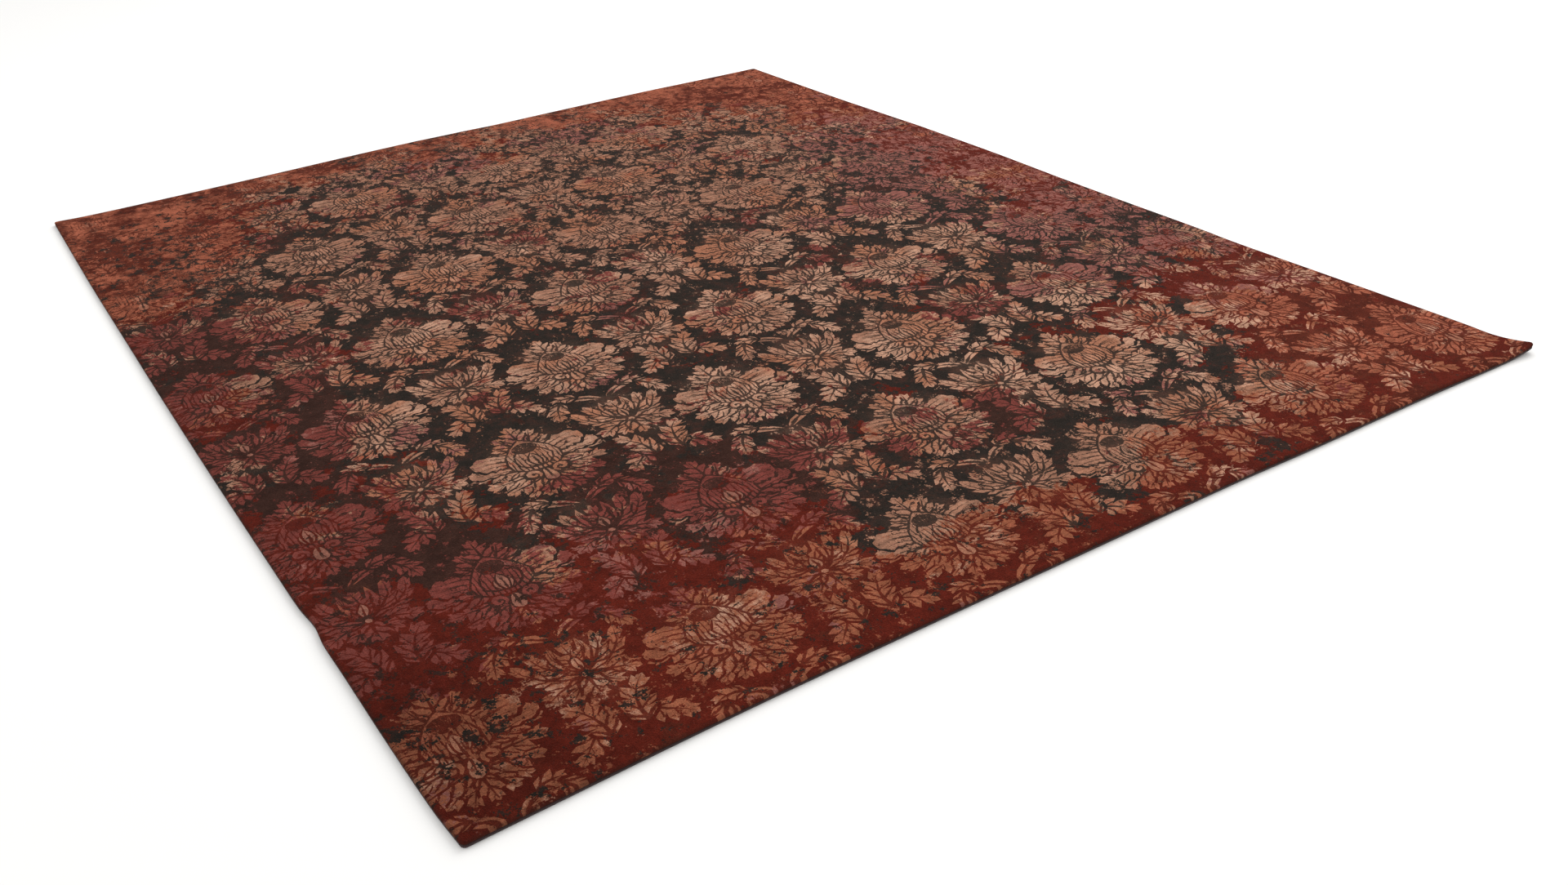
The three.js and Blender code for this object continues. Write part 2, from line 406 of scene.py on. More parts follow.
def chart_half_cell():
    """Half of one group's cell as a flat mesh, cut along the motifs, with each face's tone as its material.

    No operator cuts overlapping outlines out of a sheet, so the cell comes from a triangulation of them all.
    """
    wide = PITCH_ACROSS / 4
    top = GROUP_LOW + PITCH_ALONG
    cell = [(0, GROUP_LOW), (wide, GROUP_LOW), (wide, (GROUP_LOW + top) / 2), (wide, top), (0, top)]
    shapes = [shape(GROUND, cell)]
    for column in (1, 0):
        for row in (-2, -1, 0, 1):
            for each in moved(group(), column * PITCH_ACROSS / 2, (row + column / 2) * PITCH_ALONG):
                across = [x for x, y in each["outline"]]
                along = [y for x, y in each["outline"]]
                if max(across) > 0 and min(across) < wide and max(along) > GROUP_LOW and min(along) < top:
                    shapes.append(each)
    points, loops = [], []
    for each in shapes:
        outline = each["outline"]
        turned = sum(a[0] * b[1] - b[0] * a[1] for a, b in zip(outline, outline[1:] + outline[:1]))
        loops.append(list(range(len(points), len(points) + len(outline))))
        points += [Vector(point) for point in (outline if turned > 0 else outline[::-1])]
    made, _, faces, _, _, sources = delaunay_2d_cdt(points, [], loops, 0, 0.01, True)
    # In a fixed order, because the triangulation gives its pieces in a new one each time
    order = sorted(range(len(made)), key=lambda i: (round(made[i].x, 3), round(made[i].y, 3)))
    rank = {old: new for new, old in enumerate(order)}
    pieces = []
    for face, source in zip(faces, sources):
        if 0 in source:
            corners = [rank[i] for i in face]
            first = corners.index(min(corners))
            pieces.append((corners[first:] + corners[:first], max(source)))
    bm = bmesh.new()
    verts = [bm.verts.new((made[i].x, made[i].y, 0)) for i in order]
    for corners, uppermost in sorted(pieces):
        new = bm.faces.new([verts[i] for i in corners])
        new.material_index = uppermost if shapes[uppermost]["tone"] != GROUND else GROUND
    bmesh.ops.delete(bm, geom=[v for v in bm.verts if not v.link_faces], context="VERTS")
    # Points on the cell's border stay, so that neighbouring cells meet point to point
    bmesh.ops.dissolve_limit(bm, angle_limit=math.radians(CURVE_LIMIT), use_dissolve_boundaries=False,
                             verts=[vert for vert in bm.verts if not vert.is_boundary], edges=bm.edges,
                             delimit={"MATERIAL"})
    bmesh.ops.triangulate(bm, faces=bm.faces, quad_method="BEAUTY", ngon_method="BEAUTY")
    veins = bm.loops.layers.float_vector.new("veins")
    for face in bm.faces:
        own = shapes[face.material_index]
        first, along, across = own["veins"]
        for loop in face.loops:
            point = loop.vert.co.xy
            if own["rib"] and face.material_index:
                up, out, share = vein_place(own["rib"], point)
                loop[veins] = (first + along * up, across * out, 1.15 - 1.3 * share)
            else:
                loop[veins] = (0, 0.5, depth_in_flower(point))
        face.material_index = own["tone"]
    return bm


def outward(point):
    """The direction that leads straight off the rug from a point on its outline."""
    for corner in CORNERS:
        centre = Vector((corner["across"] * (WIDTH / 2 - corner["radius"]),
                         corner["along"] * (LENGTH / 2 - corner["radius"])))
        away = point.xy - centre
        if away.x * corner["across"] > 0 and away.y * corner["along"] > 0:
            return away.normalized().to_3d()
    if WIDTH / 2 - abs(point.x) < LENGTH / 2 - abs(point.y):
        return Vector((math.copysign(1, point.x), 0, 0))
    return Vector((0, math.copysign(1, point.y), 0))


def cut_to_outline(bm):
    """Trims the woven field to the rug's outline, set back to where the pile's top is level."""
    cuts = []
    for side, normal in enumerate(((0, -1), (1, 0), (0, 1), (-1, 0))):
        reach = (WIDTH if normal[0] else LENGTH) / 2 - SETBACK
        cuts.append((Vector((*normal, 0)) * reach, Vector((*normal, 0))))
        corner = CORNERS[(side + 1) % 4]
        radius = corner["radius"]
        centre = Vector((corner["across"] * (WIDTH / 2 - radius),
                         corner["along"] * (LENGTH / 2 - radius), 0))
        for step in range(1, ARC_STEPS):
            turn = (side - 1 + step / ARC_STEPS) * math.pi / 2
            away = Vector((math.cos(turn), math.sin(turn), 0))
            cuts.append((centre + away * (radius - SETBACK), away))
    for place, normal in cuts:
        bmesh.ops.bisect_plane(bm, geom=bm.verts[:] + bm.edges[:] + bm.faces[:], dist=0.01 * MM,
                               plane_co=place, plane_no=normal, clear_outer=True)


def add_copy(bm, mesh, shift, side=1):
    """Adds a mesh at a place, as it is or mirrored across."""
    verts, faces = len(bm.verts), len(bm.faces)
    bm.from_mesh(mesh)
    new = bm.verts[verts:]
    if side < 0:
        bmesh.ops.scale(bm, vec=(-1, 1, 1), verts=new)
        bmesh.ops.reverse_faces(bm, faces=bm.faces[faces:])
    bmesh.ops.translate(bm, vec=(*shift, 0), verts=new)


def shake(bm, reach):
    """Moves each point by up to a knot or so, as knotting by eye does, and puts back what would fold."""
    steady = {vert: vert.co.copy() for vert in bm.verts}
    for vert in bm.verts:
        shift = noise.noise_vector(vert.co / SHAKE_SPAN) * reach
        vert.co += Vector((shift.x, shift.y, 0))
    for attempt in range(8):
        folded = []
        for face in bm.faces:
            low, middle, high = (loop.vert.co.xy for loop in face.loops)
            if (middle - low).cross(high - low) < (0.3 * MM) ** 2:
                folded.append(face)
        for vert in {vert for face in folded for vert in face.verts}:
            vert.co = steady[vert]


def weave_field(sizes):
    """The whole pile top with its damask, a little larger than the rug and then cut to it."""
    across, along = sizes.repeat_across, sizes.repeat_along
    half = chart_half_cell()
    bmesh.ops.scale(half, vec=(across / PITCH_ACROSS, along / PITCH_ALONG, 1), verts=half.verts)
    cell = bpy.data.meshes.new("damask cell")
    half.to_mesh(cell)
    half.free()
    strip = bmesh.new()
    for side in (1, -1):
        add_copy(strip, cell, (0, 0), side)
    strip.to_mesh(cell)
    bm = bmesh.new()
    rows = math.ceil(LENGTH / 2 / along)
    for row in range(-rows, rows):
        add_copy(bm, cell, (0, row * along))
    bm.to_mesh(cell)
    bm.clear()
    strip.free()
    columns = math.ceil(WIDTH / across)
    for column in range(-columns, columns + 1):
        add_copy(bm, cell, (column * across / 2, (MIDDLE_ALONG / PITCH_ALONG + (column % 2) / 2) * along))
    bpy.data.meshes.remove(cell)
    bmesh.ops.remove_doubles(bm, verts=[v for v in bm.verts if v.is_boundary], dist=0.05 * MM)
    noise.seed_set(WEAVER_SEED)
    for vert in bm.verts:
        place = Vector((vert.co.x / DRIFT_SPAN, vert.co.y / DRIFT_SPAN, 3.7))
        shift = noise.noise_vector(place) * sizes.drift
        vert.co += Vector((shift.x, shift.y, 0))
    shake(bm, sizes.unevenness)
    cut_to_outline(bm)
    return bm


# The rug's colour zones, and one zone of painted light and shade, partly fading, as soft ovals over a base:
# where each lies, its reach and how strongly it acts
ZONES = {
    "dark": {"base": 0.12, "ovals": [
        {"across": -60, "along": 80, "wide": 1240, "long": 1370, "amount": 1.05},
        {"across": -1230, "along": 1270, "wide": 430, "long": 620, "amount": -0.8},
        {"across": 1215, "along": 1540, "wide": 620, "long": 420, "amount": -0.8},
        {"across": 1230, "along": 250, "wide": 300, "long": 900, "amount": -0.3},
        {"across": 0, "along": 1600, "wide": 1500, "long": 330, "amount": 0.16},
        {"across": 1230, "along": -1250, "wide": 500, "long": 520, "amount": -0.9},
        {"across": -850, "along": -1520, "wide": 760, "long": 420, "amount": -0.8},
        {"across": 280, "along": -1180, "wide": 480, "long": 160, "amount": 0.7},
        {"across": -210, "along": -1300, "wide": 200, "long": 150, "amount": 0.75},
        {"across": 110, "along": -1370, "wide": 110, "long": 110, "amount": 0.5},
        {"across": 1080, "along": -560, "wide": 240, "long": 170, "amount": 0.5},
    ]},
    "wine": {"base": 0.04, "ovals": [
        {"across": -1230, "along": -250, "wide": 370, "long": 980, "amount": 0.8},
        {"across": -800, "along": -980, "wide": 640, "long": 280, "amount": 0.75},
        {"across": 80, "along": -1060, "wide": 230, "long": 110, "amount": 0.5},
        {"across": 300, "along": -640, "wide": 150, "long": 130, "amount": 0.3},
        {"across": -500, "along": 150, "wide": 130, "long": 180, "amount": 0.3},
        {"across": -850, "along": -1450, "wide": 1000, "long": 260, "amount": -0.5},
    ]},
    "rose": {"base": 0.0, "ovals": [
        {"across": 1200, "along": 40, "wide": 500, "long": 980, "amount": 0.76},
        {"across": 700, "along": -690, "wide": 180, "long": 170, "amount": 0.5},
        {"across": 680, "along": 60, "wide": 200, "long": 260, "amount": 0.3},
        {"across": 100, "along": 1250, "wide": 900, "long": 160, "amount": 0.3},
    ]},
    "bright": {"base": 0.05, "ovals": [
        {"across": -50, "along": -420, "wide": 950, "long": 640, "amount": 0.4},
        {"across": 350, "along": -980, "wide": 420, "long": 300, "amount": 0.5},
        {"across": 1000, "along": -1050, "wide": 420, "long": 400, "amount": 0.45},
        {"across": 1150, "along": 150, "wide": 330, "long": 800, "amount": 0.3},
    ]},
    "rust": {"base": 0, "ovals": [
        {"across": -1230, "along": 1250, "wide": 470, "long": 720, "amount": 1},
        {"across": 1230, "along": 1400, "wide": 560, "long": 520, "amount": 0.9},
        {"across": 0, "along": 1600, "wide": 1600, "long": 260, "amount": 0.75},
        {"across": 1150, "along": -1250, "wide": 560, "long": 400, "amount": 0.6},
    ]},
    "worn": {"base": 0, "ovals": [
        {"across": 0, "along": 1600, "wide": 1500, "long": 360, "amount": 0.64},
        {"across": -1200, "along": 1200, "wide": 420, "long": 700, "amount": 0.7},
        {"across": 1230, "along": 200, "wide": 430, "long": 1000, "amount": 0.4},
        {"across": 350, "along": 800, "wide": 900, "long": 750, "amount": 0.34},
        {"across": -500, "along": -1330, "wide": 900, "long": 260, "amount": 0.1},
    ]},
    "spotted": {"base": -0.1, "ovals": [
        {"across": -700, "along": -1330, "wide": 800, "long": 300, "amount": 0.19},
        {"across": -1200, "along": -700, "wide": 330, "long": 900, "amount": 0.17},
        {"across": -1150, "along": 900, "wide": 330, "long": 500, "amount": 0.2},
        {"across": -840, "along": 1000, "wide": 330, "long": 450, "amount": 0.28},
        {"across": 1120, "along": -600, "wide": 260, "long": 300, "amount": 0.26},
    ]},
    # Painted light and shade, partly fading: darker at the front left corner and down the left side, a
    # little lighter at the back left and the front right
    "painted_light_and_fading": {"base": 0, "ovals": [
        {"across": -1300, "along": -1500, "wide": 380, "long": 420, "amount": -0.3},
        {"across": -1300, "along": -300, "wide": 330, "long": 1100, "amount": -0.12},
        {"across": -1200, "along": 1300, "wide": 500, "long": 500, "amount": 0.06},
        {"across": 1150, "along": -1250, "wide": 620, "long": 420, "amount": 0.08},
    ]},
}

# The zones as the pile's mesh holds them, three to an attribute. The last place only fills its triple
ZONE_GROUPS = {
    "zones_a": ("dark", "wine", "rose"),
    "zones_b": ("bright", "rust", "worn"),
    "zones_c": ("spotted", "painted_light_and_fading", "painted_light_and_fading"),
}


def zone(name, x, y):
    """How strongly a colour zone acts at a place: at 0.5 it covers half, past -0.2 and 1.2 none or all."""
    total = ZONES[name]["base"]
    for oval in ZONES[name]["ovals"]:
        across = abs(x / MM - oval["across"]) / oval["wide"]
        along = abs(y / MM - oval["along"]) / oval["long"]
        away = (across ** 3 + along ** 3) ** (1 / 3)
        if away < 1.3:
            total += oval["amount"] * (1 - smooth(0.5, 1.3, away))
    return min(max(total, -0.5), 1.4)


def boundary_of(bm):
    """The edges with a face on one side only."""
    return [edge for edge in bm.edges if edge.is_boundary]


def folds(vert, target):
    """Whether a flat face would fold over if this point moved to the other."""
    for face in vert.link_faces:
        if target not in face.verts:
            low, middle, high = ((target if corner == vert else corner).co.xy for corner in face.verts[:3])
            if (middle - low).cross(high - low) < (0.3 * MM) ** 2:
                return True
    return False


def thin_out_border(bm):
    """Welds points that crowd along the border to the one before them, where no face folds over."""
    start = min((vert for vert in bm.verts if vert.is_boundary), key=lambda vert: (vert.co.x, vert.co.y))
    last, vert, kept = None, start, start
    welds = {}
    while True:
        onward = [edge.other_vert(vert) for edge in vert.link_edges if edge.is_boundary]
        last, vert = vert, next(other for other in onward if other != last)
        if vert == start:
            break
        if (vert.co - kept.co).length < CROWDED and not folds(vert, kept):
            welds[vert] = kept
        else:
            kept = vert
    bmesh.ops.weld_verts(bm, targetmap=welds)


def add_rim(bm):
    """Carries the pile over its edge and in under the tufts, then closes the underside."""
    bmesh.ops.triangulate(bm, faces=[face for face in bm.faces if len(face.verts) > 3])
    thin_out_border(bm)
    while long_edges := [edge for edge in boundary_of(bm) if edge.calc_length() > EDGE_STEP]:
        bmesh.ops.subdivide_edges(bm, edges=long_edges, cuts=1)
    loop = boundary_of(bm)
    inset = SETBACK
    for row in EDGE_SECTION:
        made = bmesh.ops.extrude_edge_only(bm, edges=loop)["geom"]
        for vert in [item for item in made if isinstance(item, bmesh.types.BMVert)]:
            away = outward(vert.co)
            vert.co += away * (inset - row["inset"] * MM)
            vert.co.z = row["height"] * MM
        inset = row["inset"] * MM
        loop = [item for item in made if isinstance(item, bmesh.types.BMEdge)]
    underside = bmesh.ops.contextual_create(bm, geom=loop)["faces"]
    for face in underside:
        face.material_index = UNDERSIDE
    bmesh.ops.triangulate(bm, faces=underside)


def curl_cuts(bm):
    """Cuts the front right corner across its diagonal, so that it can curl evenly."""
    away = Vector((1, -1, 0)).normalized()
    tip = Vector((WIDTH / 2, -LENGTH / 2, 0))
    for step in range(1, CURL_CUTS + 1):
        place = tip - away * (CURL_REACH * step / CURL_CUTS)
        near = [face for face in bm.faces
                if any((vert.co - tip).length < 3 * CURL_REACH for vert in face.verts)]
        geom = list(dict.fromkeys(item for face in near for item in (*face.verts, *face.edges, face)))
        bmesh.ops.bisect_plane(bm, geom=geom, dist=0.01 * MM, plane_co=place, plane_no=away)


def store(mesh, name, kind, domain, values):
    """Keeps a value for each point or face, which the materials read by name."""
    attribute = mesh.attributes.new(name, kind, domain)
    flat = [part for value in values for part in value] if kind == "FLOAT_VECTOR" else values
    attribute.data.foreach_set("vector" if kind == "FLOAT_VECTOR" else "value", flat)


def add_node(tree, kind, settings=None, inputs=None):
    """Adds a node with its settings, and sets or links its inputs."""
    node = tree.nodes.new(kind)
    for name, value in (settings or {}).items():
        setattr(node, name, value)
    for name, value in (inputs or {}).items():
        if isinstance(value, bpy.types.NodeSocket):
            tree.links.new(value, node.inputs[name])
        else:
            node.inputs[name].default_value = value
    return node


def new_material(name):
    """A material without nodes, and its node tree."""
    material = bpy.data.materials.new(name)
    material.use_nodes = True
    material.node_tree.nodes.clear()
    return material, material.node_tree


def torn(tree, knots, field, size, seed, reach, soft=0.04):
    """A zone's mask, 0 to 1, with the torn and spotted outline of colours that change from knot to knot."""
    patches = add_node(tree, "ShaderNodeTexNoise", {"noise_dimensions": "4D"},
                       {"Vector": knots, "W": seed, "Scale": 1 / size, "Detail": 6, "Roughness": 0.8})
    moved_edge = add_node(tree, "ShaderNodeMath", {"operation": "MULTIPLY_ADD"},
                          {0: patches.outputs[0], 1: reach, 2: field})
    middle = 0.5 + reach / 2
    mask = add_node(tree, "ShaderNodeMapRange", inputs={
        "Value": moved_edge.outputs[0], "From Min": middle - soft, "From Max": middle + soft})
    return mask.outputs[0]


def pile_material(sizes, colours):
    """Cut wool pile: matt yarn ends with a soft sheen, each knot a little lighter or darker than the next,
    painted darker round the tufts and at the edge.
    """
    material, tree = new_material("cut_wool_pile")
    plan = add_node(tree, "ShaderNodeAttribute", {"attribute_name": "plan"}).outputs["Vector"]
    tone = add_node(tree, "ShaderNodeAttribute", {"attribute_name": "tone"}).outputs["Fac"]
    edge = add_node(tree, "ShaderNodeAttribute", {"attribute_name": "edge"}).outputs["Fac"]
    parts = []
    for name in (*ZONE_GROUPS, "veins"):
        stored = add_node(tree, "ShaderNodeAttribute", {"attribute_name": name}).outputs["Vector"]
        parts.append(add_node(tree, "ShaderNodeSeparateXYZ", inputs={0: stored}).outputs)
    (dark, wine, rose), (bright, rust, worn), (spotted, painted_light_and_fading, _), (up, out, inner) = parts
    knots = add_node(tree, "ShaderNodeVectorMath", {"operation": "SNAP"},
                     {0: plan, 1: (sizes.knot, sizes.knot, sizes.knot)}).outputs[0]
    rgba = {"data_type": "RGBA"}

    # Zones of dye, torn into patches up to 200 mm wide with specks down to a knot
    is_dark = torn(tree, knots, dark, 200 * MM, 1.3, 6.0)
    is_wine = torn(tree, knots, wine, 200 * MM, 4.1, 6.0)
    is_rose = torn(tree, knots, rose, 200 * MM, 7.7, 6.0)
    is_bright = torn(tree, knots, bright, 120 * MM, 9.2, 5.0, 0.25)
    is_rust = torn(tree, knots, rust, 200 * MM, 12.6, 5.0, 0.1)
    is_worn = torn(tree, knots, worn, 50 * MM, 15.9, 6.0, 0.1)
    is_spotted = torn(tree, knots, spotted, 35 * MM, 18.3, 5.0, 0.06)

    # Flakes of 8 to 20 mm, longer the way the pile leans, mottled dye from 35 mm down to a knot, and the
    # slow change of a dye lot over 200 mm
    leaning = add_node(tree, "ShaderNodeVectorMath", {"operation": "MULTIPLY"},
                       {0: knots, 1: (1.0, 0.6, 1.0)}).outputs[0]
    flakes = add_node(tree, "ShaderNodeTexNoise", {"noise_dimensions": "4D"}, {
        "Vector": leaning, "W": 31.0, "Scale": 1 / (18 * MM), "Detail": 4, "Roughness": 0.7}).outputs[0]
    mottle = add_node(tree, "ShaderNodeTexNoise", {"noise_dimensions": "4D"}, {
        "Vector": knots, "W": 21.0, "Scale": 1 / (35 * MM), "Detail": 6, "Roughness": 0.75}).outputs[0]
    abrash = add_node(tree, "ShaderNodeTexNoise", {"noise_dimensions": "4D"}, {
        "Vector": knots, "W": 47.0, "Scale": 1 / (200 * MM), "Detail": 3, "Roughness": 0.6}).outputs[0]

    # Ground colours
    brown_share = add_node(tree, "ShaderNodeMapRange", inputs={
        "Value": mottle, "From Min": 0.48, "From Max": 0.6, "To Max": 0.8}).outputs[0]
    brown_share = add_node(tree, "ShaderNodeMath", {"operation": "MAXIMUM"},
                           {0: brown_share, 1: is_wine}).outputs[0]
    dark_ground = add_node(tree, "ShaderNodeMix", rgba, {
        0: brown_share, 6: tuple(colours.dark_ground), 7: tuple(colours.brown_ground)}).outputs[2]
    red_ground = add_node(tree, "ShaderNodeMix", rgba, {
        0: is_rust, 6: tuple(colours.wine_ground), 7: tuple(colours.rust_ground)}).outputs[2]
    ground = add_node(tree, "ShaderNodeMix", rgba, {0: is_dark, 6: red_ground, 7: dark_ground}).outputs[2]

    # Motif colours
    motif = add_node(tree, "ShaderNodeMix", rgba, {
        0: is_bright, 6: tuple(colours.copper), 7: tuple(colours.peach)}).outputs[2]
    amber_share = add_node(tree, "ShaderNodeMapRange", inputs={
        "Value": abrash, "From Min": 0.5, "From Max": 0.57, "To Max": 0.8}).outputs[0]
    motif = add_node(tree, "ShaderNodeMix", rgba, {
        0: amber_share, 6: motif, 7: tuple(colours.amber)}).outputs[2]
    light_front = add_node(tree, "ShaderNodeMix", rgba, {
        0: is_bright, 6: tuple(colours.gold), 7: tuple(colours.peach)}).outputs[2]
    motif = add_node(tree, "ShaderNodeMix", rgba, {0: is_dark, 6: light_front, 7: motif}).outputs[2]
    for where, dyed in ((is_wine, colours.wine), (is_rose, colours.rose), (is_rust, colours.rust)):
        motif = add_node(tree, "ShaderNodeMix", rgba, {0: where, 6: motif, 7: tuple(dyed)}).outputs[2]
    heart_share = add_node(tree, "ShaderNodeMapRange", inputs={
        "Value": tone, "From Min": 1.0, "From Max": 2.0, "To Max": 0.3}).outputs[0]
    motif = add_node(tree, "ShaderNodeMix", rgba, {
        0: heart_share, 6: motif, 7: tuple(colours.peach)}).outputs[2]

    # Lines between and inside the petals, a little lighter than the ground. A leaf's veins spring from its
    # rib, 21 to 25 mm apart, and a petal's and the bud's run beside each other, 9.5 to 13 mm apart
    line = add_node(tree, "ShaderNodeMix", rgba, {0: 0.08, 6: ground, 7: motif}).outputs[2]
    side = add_node(tree, "ShaderNodeMath", {"operation": "ABSOLUTE"}, {0: out}).outputs[0]
    phase = add_node(tree, "ShaderNodeMath", {"operation": "ADD"}, {0: up, 1: side}).outputs[0]
    phase = add_node(tree, "ShaderNodeMath", {"operation": "MULTIPLY_ADD"},
                     {0: mottle, 1: 1.6, 2: phase}).outputs[0]
    phase = add_node(tree, "ShaderNodeMath", {"operation": "SUBTRACT"}, {0: phase, 1: 0.8}).outputs[0]
    off_line = add_node(tree, "ShaderNodeMath", {"operation": "PINGPONG"}, {0: phase, 1: 0.5}).outputs[0]
    off_line = add_node(tree, "ShaderNodeMath", {"operation": "MINIMUM"}, {0: off_line, 1: side}).outputs[0]
    off_line = add_node(tree, "ShaderNodeMath", {"operation": "MULTIPLY_ADD"},
                        {0: inner, 1: -0.17, 2: off_line}).outputs[0]
    veined = add_node(tree, "ShaderNodeMapRange", inputs={
        "Value": off_line, "From Min": 0.0, "From Max": 0.05, "To Min": 1.0, "To Max": 0.0}).outputs[0]
    motif = add_node(tree, "ShaderNodeMix", rgba, {0: veined, 6: motif, 7: line}).outputs[2]
    ground = add_node(tree, "ShaderNodeMix", rgba, {0: inner, 6: ground, 7: line}).outputs[2]

    # Where the flowers are frayed, and where flakes of both colours take the drawing's place
    plain = add_node(tree, "ShaderNodeMath", {"operation": "MINIMUM"}, {0: tone, 1: 1.0}).outputs[0]
    whole = add_node(tree, "ShaderNodeMapRange", inputs={
        "Value": flakes, "From Min": 0.615, "From Max": 0.63, "To Min": 1.0, "To Max": 0.2}).outputs[0]
    plain = add_node(tree, "ShaderNodeMath", {"operation": "MULTIPLY"}, {0: plain, 1: whole}).outputs[0]
    fleck = add_node(tree, "ShaderNodeMapRange", inputs={
        "Value": flakes, "From Min": 0.375, "From Max": 0.36, "To Max": 0.6}).outputs[0]
    plain = add_node(tree, "ShaderNodeMath", {"operation": "MAXIMUM"}, {0: plain, 1: fleck}).outputs[0]
    flaked = add_node(tree, "ShaderNodeMapRange", inputs={
        "Value": flakes, "From Min": 0.47, "From Max": 0.52}).outputs[0]
    clouds = add_node(tree, "ShaderNodeMath", {"operation": "MULTIPLY_ADD"},
                      {0: abrash, 1: 1.5, 2: mottle}).outputs[0]
    clouded = add_node(tree, "ShaderNodeMapRange", inputs={
        "Value": clouds, "From Min": 1.14, "From Max": 1.36}).outputs[0]
    flaked = add_node(tree, "ShaderNodeMix", inputs={0: is_rust, 2: flaked, 3: clouded}).outputs[0]
    shown = add_node(tree, "ShaderNodeMix", inputs={0: is_worn, 2: plain, 3: flaked}).outputs[0]
    colour = add_node(tree, "ShaderNodeMix", rgba, {0: shown, 6: ground, 7: motif}).outputs[2]
    colour = add_node(tree, "ShaderNodeMix", rgba, {0: is_spotted, 6: colour, 7: dark_ground}).outputs[2]

    # Tufts, one to a knot: the yarn ends open into a soft round tip. The tips are painted lighter and the
    # grooves round them darker, as painted light and shade
    tuft = add_node(tree, "ShaderNodeTexVoronoi", {"voronoi_dimensions": "3D"},
                    {"Vector": plan, "Scale": 1 / sizes.knot, "Randomness": 0.75}).outputs["Distance"]
    tip = add_node(tree, "ShaderNodeMapRange", inputs={
        "Value": tuft, "From Min": 0.15, "From Max": 0.75, "To Min": 1.0, "To Max": 0.0}).outputs[0]
    painted_groove_shade = add_node(tree, "ShaderNodeMapRange", inputs={
        "Value": tip, "To Min": 0.83, "To Max": 1.24}).outputs[0]

    # Uneven dye and each knot on its own, then the painted light and shade of the tufts and of large areas,
    # the latter partly fading
    level = add_node(tree, "ShaderNodeMapRange", inputs={
        "Value": mottle, "From Min": 0.4, "From Max": 0.6, "To Min": 0.74, "To Max": 1.2}).outputs[0]
    each = add_node(tree, "ShaderNodeTexWhiteNoise", inputs={"Vector": knots}).outputs[0]
    each = add_node(tree, "ShaderNodeMapRange", inputs={
        "Value": each, "To Min": 0.86, "To Max": 1.14}).outputs[0]
    level = add_node(tree, "ShaderNodeMath", {"operation": "MULTIPLY"}, {0: level, 1: each}).outputs[0]
    level = add_node(tree, "ShaderNodeMath", {"operation": "MULTIPLY"}, {0: level, 1: painted_groove_shade}).outputs[0]
    # Painted light and shade over large areas, partly fading, scales the colour here
    level = add_node(tree, "ShaderNodeMath", {"operation": "MULTIPLY_ADD"},
                     {0: level, 1: painted_light_and_fading, 2: level}).outputs[0]
    colour = add_node(tree, "ShaderNodeVectorMath", {"operation": "SCALE"},
                      {0: colour, "Scale": level}).outputs[0]

    # Painted shade: the last 6 mm are painted a little darker, and the tufts' sides at the edge are painted
    # darker towards their roots
    painted_edge_shade = add_node(tree, "ShaderNodeMapRange", inputs={
        "Value": edge, "From Min": 0.5 * MM, "From Max": 6 * MM, "To Min": 0.3, "To Max": 0.0}).outputs[0]
    depth = add_node(tree, "ShaderNodeSeparateXYZ", inputs={0: plan}).outputs[2]
    painted_root_shade = add_node(tree, "ShaderNodeMapRange", inputs={
        "Value": depth, "From Min": -6.2 * MM, "From Max": -2 * MM,
        "To Min": 0.85, "To Max": 0.0}).outputs[0]
    painted_edge_shade = add_node(tree, "ShaderNodeMath", {"operation": "MAXIMUM"}, {0: painted_edge_shade, 1: painted_root_shade}).outputs[0]
    colour = add_node(tree, "ShaderNodeMix", rgba, {
        0: painted_edge_shade, 6: colour, 7: tuple(colours.dark_ground)}).outputs[2]

    bump = add_node(tree, "ShaderNodeBump", inputs={
        "Height": tip, "Strength": 0.7, "Distance": 1.2 * MM})
    surface = add_node(tree, "ShaderNodeBsdfPrincipled", inputs={
        "Base Color": colour, "Roughness": 0.95, "Specular IOR Level": 0.04, "Sheen Weight": 0.015,
        "Sheen Roughness": 0.5, "Sheen Tint": (0.7, 0.4, 0.3, 1), "Normal": bump.outputs[0]})
    add_node(tree, "ShaderNodeOutputMaterial", inputs={"Surface": surface.outputs[0]})
    return material


